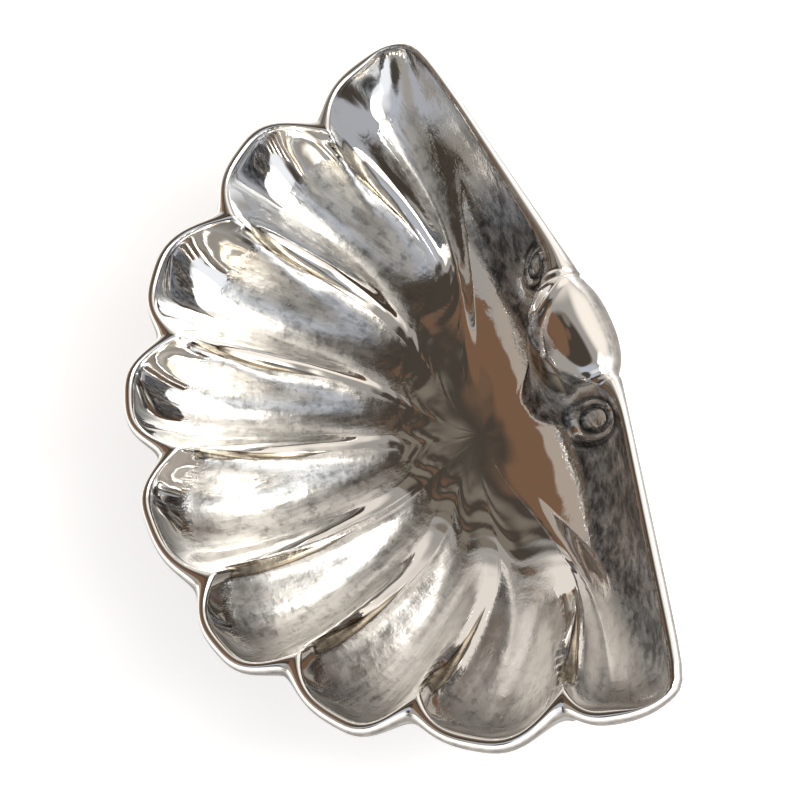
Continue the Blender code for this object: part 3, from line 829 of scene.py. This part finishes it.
def shell_finish(skin, share, inner, flank, turn, relief, hinge):
    """What the finish of each point depends on, by the name of its mesh attribute."""
    rows, count = skin.shape[:2]
    inside = len(share)
    lip_rows = slice(inside, inside + LIP_STEPS)
    fan = ease(FAN_TURN, turn)[None]
    reach = np.hypot(skin[..., 0], skin[..., 1])
    bowl_reach = reach[:inside]
    around = np.degrees(np.arctan2(inner[:, 0], -inner[:, 1]))
    tips = np.array([tip[0] for tip in LOBE_TIPS])
    nearest = tips[np.argmin(np.abs(around[:, None] - tips[None]), axis=1)]
    side = np.where(around > nearest, flank, -flank)[None]
    lower = ease(LOWER_FAN, around)[None]
    low_end = ease(LOW_END, around)[None]

    satin = np.zeros((rows, count))
    satin[:inside] = fan * flute_satin(share, bowl_reach, side, lower, low_end)
    satin[:inside] += (1.0 - fan) * wall_satin(share, skin[:inside, :, 0])
    shade = np.zeros((rows, count))
    shade[:inside] = fan * lower * ease(SHADED_ENDS, share)
    shade[:inside] += SHADED_MIDDLE_STRENGTH * fan * (1.0 - ease(SHADED_MIDDLE, bowl_reach))
    # painted light: the low-end flutes lightened from where they start to near their ends
    painted_light = np.zeros((rows, count))
    painted_light[:inside] = fan * ease(PAINTED_LIGHT_FLUTES, around)[None] * ease(PAINTED_LIGHT_START, bowl_reach)
    painted_light[:inside] *= 1.0 - ease(PAINTED_LIGHT_END, share)
    groove = np.zeros((rows, count))
    groove[:inside] = crest_groove(share, flank[None], ridge_spread(skin[:inside])) / GROOVE_DEPTH
    outer = np.zeros((rows, count))
    lip_share = np.arange(1, LIP_STEPS + 1)[:, None] / LIP_STEPS
    outer[lip_rows] = ease(OUTER_LIP, lip_share)
    outer[inside + LIP_STEPS:] = 1.0
    roll = (1.0 - fan) * (1.0 - ease(LIP_ROLL, lip_share))
    roll = roll * (1.0 - smooth_step(0.0, ROLL_CLEAR, knob_height(inner))[None])
    satin[lip_rows] = roll
    hinge[lip_rows] = roll
    return {
        "satin": satin,
        "groove": groove,
        "outer": outer,
        "hinge": hinge,
        "shade": shade,
        "painted_light": painted_light,
        # raised relief worn bright, sunk relief given painted shade
        "wear_and_recess_shade": relief / WEAR_AND_SHADE_HEIGHT,
        "reach": reach,
        "bearing": np.arctan2(skin[..., 0], -skin[..., 1]),
    }


def shell_skin():
    """Fine skin of the shell and what its finish depends on."""
    columns = all_columns()
    rim = np.array([column[0] for column in columns])
    inner = np.array([column[1] for column in columns])
    flank = np.array([column[2] for column in columns])
    turn = fan_turn(inner)
    body = body_outline(rim, inner)
    bowl = bowl_surface(inner, flank, turn)
    lip = lip_surface(inner, rim)
    bowl[-1, :, 2] += knob_height(inner)
    under = under_surface(rim, body, flank, turn)
    skin = np.concatenate((bowl, lip, under), axis=0)
    rows, count = skin.shape[:2]

    share = np.broadcast_to(bowl_row_shares()[:, None], (BOWL_STEPS + 1, count))
    inside = len(share)
    skin[:inside, :, 2] = even_middle(skin[:inside])
    normal = grid_normals(skin)
    hinge = np.zeros((rows, count))
    hinge[:inside] = (1.0 - ease(FAN_TURN, turn)[None]) * ease(HINGE_WALL, share)
    near_lip = np.arange(rows) < inside + LIP_STEPS
    relief = fine_relief(skin, hinge) * near_lip[:, None]
    lift = relief.copy()
    lift[:inside] += flute_ripples(skin[:inside], flank[None], turn[None])
    height = CLOUD_HEIGHT + CLOUD_EXTRA_HEIGHT * ease(CLOUD_RISE, share)
    lift[:inside] += height * cloudy(skin[:inside]) * ease(CLOUD_EDGE, share)
    skin = skin + normal * lift[..., None]
    return skin, shell_finish(skin, share, inner, flank, turn, relief, hinge)


def shell_mesh(skin, marks):
    """Mesh of the shell in the CAD's own frame, inside its box."""
    low = skin.min(axis=(0, 1))
    high = skin.max(axis=(0, 1))
    box_low = np.array(cad_low)
    box_high = np.array(cad_high)
    skin = box_low + (skin - low) * (box_high - box_low) / (high - low)
    rows, count = skin.shape[:2]
    vertices = np.concatenate((skin[0, :1], skin[1:-1].reshape(-1, 3), skin[-1, :1]))
    faces = []
    last = len(vertices) - 1
    for column in range(count):
        after = (column + 1) % count
        faces.append((0, 1 + column, 1 + after))
        base = 1 + (rows - 3) * count
        faces.append((base + column, last, base + after))
    for row in range(rows - 3):
        base = 1 + row * count
        for column in range(count):
            after = (column + 1) % count
            faces.append((base + column, base + count + column, base + count + after, base + after))
    mesh = bpy.data.meshes.new("shell")
    mesh.from_pydata(vertices.tolist(), [], faces)
    for name, values in marks.items():
        flat = np.concatenate((values[0, :1], values[1:-1].ravel(), values[-1, :1]))
        layer = mesh.attributes.new(name, "FLOAT", "POINT")
        layer.data.foreach_set("value", flat.astype(np.float32))
    mesh.polygons.foreach_set("use_smooth", [True] * len(mesh.polygons))
    mesh.update()
    return mesh


class Nodes:
    """Short way to add and join the nodes of one material or of the world."""

    def __init__(self, tree):
        self.tree = tree

    def add(self, kind, **settings):
        node = self.tree.nodes.new(kind)
        for name, value in settings.items():
            setattr(node, name, value)
        return node

    def put(self, value, socket):
        if isinstance(value, bpy.types.NodeSocket):
            self.tree.links.new(value, socket)
        else:
            socket.default_value = value

    def maths(self, operation, first, second, clamp=False):
        node = self.add("ShaderNodeMath", operation=operation, use_clamp=clamp)
        self.put(first, node.inputs[0])
        self.put(second, node.inputs[1])
        return node.outputs[0]

    def plus(self, first, second):
        return self.maths("ADD", first, second)

    def product(self, first, second):
        return self.maths("MULTIPLY", first, second)

    def weighed(self, first, second, weights):
        return self.plus(self.product(first, weights[0]), self.product(second, weights[1]))

    def mark(self, name):
        return self.add("ShaderNodeAttribute", attribute_name=name).outputs["Fac"]

    def cloud(self, scale, detail, rough, where=None):
        node = self.add("ShaderNodeTexNoise")
        node.inputs["Scale"].default_value = scale
        node.inputs["Detail"].default_value = detail
        node.inputs["Roughness"].default_value = rough
        if where is None:
            where = self.add("ShaderNodeTexCoord").outputs["Object"]
        self.put(where, node.inputs["Vector"])
        return node.outputs["Fac"]

    def ramp(self, value, stops):
        """Colour by value, from stops of a position and a grey level or a colour."""
        node = self.add("ShaderNodeValToRGB")
        self.put(value, node.inputs["Fac"])
        ramp = node.color_ramp
        while len(ramp.elements) < len(stops):
            ramp.elements.new(0.5)
        for element, (position, colour) in zip(ramp.elements, stops):
            colour = (colour,) * 3 if isinstance(colour, float) else colour
            element.position = position
            element.color = (*colour, 1.0)
        return node.outputs["Color"]

    def off_middle(self, value, strength):
        """The value's distance from its middle of a half, made stronger or weaker."""
        return self.product(self.maths("SUBTRACT", value, 0.5), strength)

    def times(self, first, second):
        node = self.add("ShaderNodeMix", data_type="RGBA", blend_type="MULTIPLY")
        node.inputs[0].default_value = 1.0
        self.put(first, node.inputs[6])
        self.put(second, node.inputs[7])
        return node.outputs[2]

    def mix(self, share, first, second):
        node = self.add("ShaderNodeMix", data_type="RGBA")
        self.put(share, node.inputs[0])
        self.put(first, node.inputs[6])
        self.put(second, node.inputs[7])
        return node.outputs[2]


def solid(colour):
    """The colour with full strength, as sockets take it."""
    return (*colour, 1.0)


def pewter():
    """Hand-polished pewter with its satin casting skin left in the flutes."""
    material = bpy.data.materials.new("pewter")
    material.use_nodes = True
    kit = Nodes(material.node_tree)
    shader = material.node_tree.nodes["Principled BSDF"]
    satin = kit.mark("satin")
    groove = kit.mark("groove")
    outer = kit.mark("outer")
    wear_and_recess_shade = kit.mark("wear_and_recess_shade")
    flow = kit.add("ShaderNodeCombineXYZ")
    kit.put(kit.product(kit.mark("bearing"), STREAK_ACROSS), flow.inputs[0])
    kit.put(kit.product(kit.mark("reach"), STREAK_ALONG), flow.inputs[1])
    patch = kit.cloud(*PATCH_NOISE)
    cloud = kit.cloud(*CLOUD_NOISE)
    dapple = kit.cloud(*DAPPLE_NOISE)
    grain = kit.cloud(*GRAIN_NOISE)
    streak = kit.cloud(*STREAK_NOISE, flow.outputs[0])

    edge = kit.plus(satin, kit.off_middle(patch, FRAY_BY_PATCH))
    edge = kit.plus(edge, kit.off_middle(cloud, FRAY_BY_CLOUD))
    brushed = kit.ramp(kit.mark("reach"), BRUSHED_BY_REACH)
    edge = kit.plus(edge, kit.product(kit.off_middle(streak, FRAY_BY_STREAK), brushed))
    skin = kit.ramp(edge, SKIN_BY_EDGE)
    bright = kit.ramp(wear_and_recess_shade, BRIGHT_BY_WEAR)
    skin = kit.product(skin, kit.maths("SUBTRACT", 1.0, kit.product(bright, BRIGHT_CLEARS)))
    skin = kit.product(skin, kit.ramp(satin, SKIN_BY_SATIN))
    skin = kit.maths("MAXIMUM", skin, kit.maths("MAXIMUM", groove, outer))

    mottle = kit.weighed(cloud, streak, MOTTLE_MIX)
    cast = kit.times(solid(CASTING), kit.ramp(mottle, MOTTLE_STOPS))
    cast = kit.times(cast, kit.ramp(dapple, PIT_STOPS))
    cast = kit.times(cast, kit.mix(kit.mark("shade"), solid(UNSHADED), solid(SHADED)))
    # painted light: the lit flutes mixed towards a pale cream colour
    cast = kit.mix(kit.product(kit.mark("painted_light"), PAINTED_LIGHT_STRENGTH), cast, solid(PAINTED_LIGHT_CASTING))
    # hinge wall and lip roll: mottled patina, partly painted shade from the dark reflection of the
    # bowl
    patina_and_shade = kit.weighed(cloud, dapple, PATINA_AND_SHADE_MIX)
    cast = kit.mix(kit.mark("hinge"), cast, kit.ramp(patina_and_shade, PATINA_AND_SHADE_STOPS))
    # painted shade: the moats and other sunk relief darkened
    recess_shade = kit.ramp(kit.product(wear_and_recess_shade, -1.0), RECESS_SHADE_BY_DEPTH)
    cast = kit.times(kit.mix(bright, cast, solid(RAISED)), recess_shade)
    colour = kit.mix(skin, solid(POLISHED), cast)
    # painted shade and highlight: the grooves darkened at their edges and tinted gold in the middle
    colour = kit.times(colour, kit.ramp(groove, GROOVE_SHADE_AND_HIGHLIGHT_STOPS))
    rind = kit.weighed(cloud, dapple, RIND_MIX)
    colour = kit.mix(outer, colour, kit.ramp(rind, RIND_STOPS))
    kit.put(colour, shader.inputs["Base Color"])
    shader.inputs["Metallic"].default_value = 1.0

    rough = kit.plus(POLISHED_ROUGHNESS, kit.product(skin, SATIN_ROUGHNESS))
    rough = kit.plus(rough, kit.product(kit.off_middle(cloud, ROUGHNESS_BY_CLOUD), skin))
    smoother = kit.product(kit.mark("hinge"), HINGE_SMOOTHER)
    rough = kit.maths("SUBTRACT", rough, smoother, clamp=True)
    kit.put(rough, shader.inputs["Roughness"])

    height = kit.plus(cloud, kit.product(dapple, BUMP_BY_DAPPLE))
    height = kit.plus(height, kit.product(streak, brushed))
    height = kit.plus(height, kit.product(grain, BUMP_BY_GRAIN))
    wear = kit.plus(kit.product(skin, BUMP_BY_SKIN), LEAST_BUMP)
    wear = kit.plus(wear, kit.product(kit.mark("hinge"), BUMP_BY_HINGE))
    bump = kit.add("ShaderNodeBump")
    bump.inputs["Distance"].default_value = BUMP_HEIGHT
    bump.inputs["Strength"].default_value = BUMP_STRENGTH
    kit.put(kit.product(height, wear), bump.inputs["Height"])
    kit.put(bump.outputs["Normal"], shader.inputs["Normal"])
    return material


def pale_floor():
    """Plain white floor that looks white to the camera and to the metal."""
    mesh = bpy.data.meshes.new("floor")
    half = FLOOR_HALF_SIZE
    corners = [(-half, -half, 0.0), (half, -half, 0.0), (half, half, 0.0), (-half, half, 0.0)]
    mesh.from_pydata(corners, [], [(0, 1, 2, 3)])
    floor = bpy.data.objects.new("floor", mesh)
    material = bpy.data.materials.new("floor")
    material.use_nodes = True
    kit = Nodes(material.node_tree)
    shader = material.node_tree.nodes["Principled BSDF"]
    shader.inputs["Base Color"].default_value = solid(FLOOR_COLOUR)
    shader.inputs["Roughness"].default_value = FLOOR_ROUGHNESS
    path = kit.add("ShaderNodeLightPath")
    glow = kit.add("ShaderNodeEmission")
    seen = kit.maths("MAXIMUM", path.outputs["Is Camera Ray"], path.outputs["Is Glossy Ray"])
    seen = kit.maths("MAXIMUM", seen, path.outputs["Is Transmission Ray"])
    kit.put(kit.product(seen, FLOOR_GLOW), glow.inputs["Strength"])
    lit = kit.add("ShaderNodeAddShader")
    kit.put(shader.outputs[0], lit.inputs[0])
    kit.put(glow.outputs[0], lit.inputs[1])
    surface = material.node_tree.nodes["Material Output"].inputs["Surface"]
    kit.put(lit.outputs[0], surface)
    mesh.materials.append(material)
    bpy.context.scene.collection.objects.link(floor)


def soft_box(name, place, aim, size, power):
    """Rectangular studio lamp at a place, turned to face a point."""
    lamp = bpy.data.lights.new(name, "AREA")
    lamp.shape = "RECTANGLE"
    lamp.size = size[0]
    lamp.size_y = size[1]
    lamp.energy = power
    box = bpy.data.objects.new(name, lamp)
    place = Vector(place)
    box.location = place
    box.rotation_euler = (Vector(aim) - place).to_track_quat("-Z", "Y").to_euler()
    bpy.context.scene.collection.objects.link(box)


def surroundings():
    """Room round the tray: white to the camera, soft studio tones to the metal."""
    world = bpy.data.worlds.new("room")
    bpy.context.scene.world = world
    world.use_nodes = True
    kit = Nodes(world.node_tree)
    back = world.node_tree.nodes["Background"]
    direction = kit.add("ShaderNodeTexCoord").outputs["Generated"]
    colour = solid(ROOM_TONE)
    for towards, inner, outer, tone in ROOM_PARTS:
        turn = kit.add("ShaderNodeVectorMath", operation="DOT_PRODUCT")
        kit.put(direction, turn.inputs[0])
        turn.inputs[1].default_value = Vector(towards).normalized()
        reach = kit.add("ShaderNodeMapRange", interpolation_type="SMOOTHSTEP")
        kit.put(turn.outputs["Value"], reach.inputs["Value"])
        reach.inputs["From Min"].default_value = math.cos(math.radians(outer))
        reach.inputs["From Max"].default_value = math.cos(math.radians(inner))
        colour = kit.mix(reach.outputs["Result"], colour, solid(tone))
    path = kit.add("ShaderNodeLightPath")
    colour = kit.mix(path.outputs["Is Camera Ray"], colour, solid(WHITE))
    kit.put(colour, back.inputs["Color"])
    back.inputs["Strength"].default_value = 1.0


def photo_camera(middle):
    """Camera that sees the tray as the photograph does, placed from the fan centre."""
    lens = bpy.data.cameras.new("camera")
    lens.lens = CAMERA_LENS
    lens.sensor_width = CAMERA_SENSOR
    camera = bpy.data.objects.new("camera", lens)
    place = (CAMERA_PLACE[0] - middle[0], CAMERA_PLACE[1] - middle[1], CAMERA_PLACE[2])
    rows = [(CAMERA_ACROSS[i], CAMERA_UP[i], CAMERA_BACK[i], place[i]) for i in range(3)]
    camera.matrix_world = Matrix(rows + [(0.0, 0.0, 0.0, 1.0)])
    bpy.context.scene.collection.objects.link(camera)
    bpy.context.scene.camera = camera


shell_points, shell_marks = shell_skin()
fan_low = shell_points[..., :2].min(axis=(0, 1))
fan_high = shell_points[..., :2].max(axis=(0, 1))
photo_camera(0.5 * (fan_low + fan_high))
shell = bpy.data.objects.new("shell", shell_mesh(shell_points, shell_marks))
bpy.context.scene.collection.objects.link(shell)
shell.data.materials.append(pewter())
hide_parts("shell_tray")
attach(shell, "root")
pale_floor()
surroundings()
soft_box("window", LAMP_PLACE, (0.0, 0.0, 0.0), LAMP_SIZE, LAMP_POWER)
bpy.context.scene.view_settings.view_transform = "Standard"
